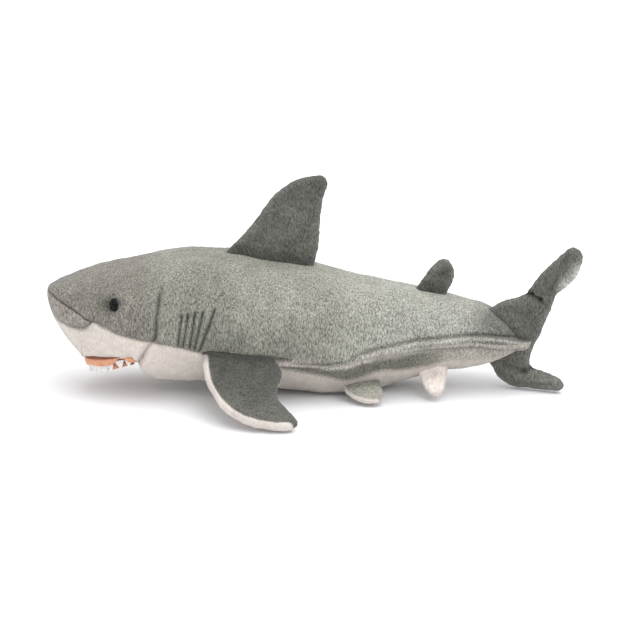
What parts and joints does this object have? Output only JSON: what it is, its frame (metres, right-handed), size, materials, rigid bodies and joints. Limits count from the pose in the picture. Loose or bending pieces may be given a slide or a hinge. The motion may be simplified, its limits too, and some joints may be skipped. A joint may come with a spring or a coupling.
{
  "type": "plush shark",
  "caption": "Plush shark with sewn panels, soft filling, stuffed fins on flexible seams, an opening lower jaw, felt teeth and glossy safety eyes.",
  "frame": {"origin": "centre of the bounding box in X and Y, on the surface that the belly rests on", "axes": "snout towards -X and tail towards +X, the shark's left side towards -Y, back and dorsal fin up towards +Z"},
  "size_m": [0.4798, 0.2562, 0.1999],
  "materials": {
    "head_grey": "short plush pile, warm grey",
    "back_grey": "short plush pile, light grey with a sheen",
    "tail_grey": "short plush pile, mid grey",
    "fin_grey": "short plush pile, dark grey",
    "cream": "short plush pile, off-white",
    "coral": "brushed fabric, coral",
    "felt": "white felt",
    "filling": "fibre filling",
    "eye_black": "polished",
    "washer": "moulded",
    "thread": "sewing thread"
  },
  "bodies": {
    "torso": {"snout_panel": "head_grey", "head_panel_left": "head_grey", "head_panel_right": "head_grey", "muzzle_panel": "cream", "back_panel_left": "back_grey", "back_panel_right": "back_grey", "belly_panel": "cream", "body_filling": "filling", "upper_gum": "coral", "mouth_lining": "coral", "upper_teeth": "felt", "left_eye": "eye_black", "left_eye_washer": "washer", "right_eye": "eye_black", "right_eye_washer": "washer", "gill_stitches_left": "thread", "gill_stitches_right": "thread"},
    "tail_stalk": {"tail_panel_left": "tail_grey", "tail_panel_right": "tail_grey", "tail_belly_panel": "cream", "tail_filling": "filling"},
    "caudal_fin": {"caudal_left_panel": "fin_grey", "caudal_right_panel": "fin_grey", "caudal_filling": "filling", "keel_left": "tail_grey", "keel_right": "tail_grey"},
    "dorsal_fin": {"dorsal_left_panel": "fin_grey", "dorsal_right_panel": "fin_grey", "dorsal_filling": "filling"},
    "second_dorsal_fin": {"second_dorsal_left_panel": "fin_grey", "second_dorsal_right_panel": "fin_grey", "second_dorsal_filling": "filling"},
    "left_pectoral_fin": {"left_pectoral_top": "fin_grey", "left_pectoral_underside": "cream", "left_pectoral_filling": "filling"},
    "right_pectoral_fin": {"right_pectoral_top": "fin_grey", "right_pectoral_underside": "cream", "right_pectoral_filling": "filling"},
    "left_pelvic_fin": {"left_pelvic_top": "fin_grey", "left_pelvic_underside": "cream", "left_pelvic_filling": "filling"},
    "right_pelvic_fin": {"right_pelvic_top": "fin_grey", "right_pelvic_underside": "cream", "right_pelvic_filling": "filling"},
    "anal_fin": {"anal_fin_left_panel": "cream", "anal_fin_right_panel": "cream", "anal_fin_filling": "filling"},
    "lower_jaw": {"jaw_lining": "coral", "jaw_underside": "cream", "jaw_filling": "filling"}
  },
  "joints": [
    {"name": "tail_bend", "type": "hinge", "parent": "torso", "child": "tail_stalk", "pos_m": [0.065, 0, 0.051], "axis": [0, 0, 1], "range_deg": [-15, 15], "stiffness_Nm_per_rad": 0.6},
    {"name": "tail_fin_swing", "type": "hinge", "parent": "tail_stalk", "child": "caudal_fin", "pos_m": [0.157, 0, 0.0485], "axis": [0, 0, 1], "range_deg": [-15, 15], "stiffness_Nm_per_rad": 0.25},
    {"name": "dorsal_fin_flop", "type": "hinge", "parent": "torso", "child": "dorsal_fin", "pos_m": [-0.078, 0, 0.136], "axis": [0.9851, 0, -0.1719], "range_deg": [-30, 30], "stiffness_Nm_per_rad": 0.12},
    {"name": "second_dorsal_fin_flop", "type": "hinge", "parent": "tail_stalk", "child": "second_dorsal_fin", "pos_m": [0.09, 0, 0.101], "axis": [0.972, 0, -0.2351], "range_deg": [-30, 30], "stiffness_Nm_per_rad": 0.01},
    {"name": "left_pectoral_fin_flap", "type": "hinge", "parent": "torso", "child": "left_pectoral_fin", "pos_m": [-0.099, -0.0628, 0.0453], "axis": [-0.9976, 0, 0.0698], "range_deg": [-25, 45], "stiffness_Nm_per_rad": 0.5},
    {"name": "right_pectoral_fin_flap", "type": "hinge", "parent": "torso", "child": "right_pectoral_fin", "pos_m": [-0.099, 0.0628, 0.0453], "axis": [0.9976, 0, -0.0698], "range_deg": [-25, 45], "stiffness_Nm_per_rad": 0.5},
    {"name": "left_pelvic_fin_flap", "type": "hinge", "parent": "torso", "child": "left_pelvic_fin", "pos_m": [0.0245, -0.0414, 0.0107], "axis": [-0.9919, -0.0798, -0.0993], "range_deg": [-20, 35], "stiffness_Nm_per_rad": 0.006},
    {"name": "right_pelvic_fin_flap", "type": "hinge", "parent": "torso", "child": "right_pelvic_fin", "pos_m": [0.0245, 0.0414, 0.0107], "axis": [0.9919, -0.0798, 0.0993], "range_deg": [-20, 35], "stiffness_Nm_per_rad": 0.006},
    {"name": "anal_fin_flop", "type": "hinge", "parent": "tail_stalk", "child": "anal_fin", "pos_m": [0.094, -0.011, 0.0084], "axis": [-0.9792, 0, -0.2028], "range_deg": [-75, 5], "stiffness_Nm_per_rad": 0.006},
    {"name": "lower_jaw_open", "type": "hinge", "parent": "torso", "child": "lower_jaw", "pos_m": [-0.1644, 0, 0.0275], "axis": [0, -1, 0], "range_deg": [-4, 22], "stiffness_Nm_per_rad": 0.02}
  ]
}
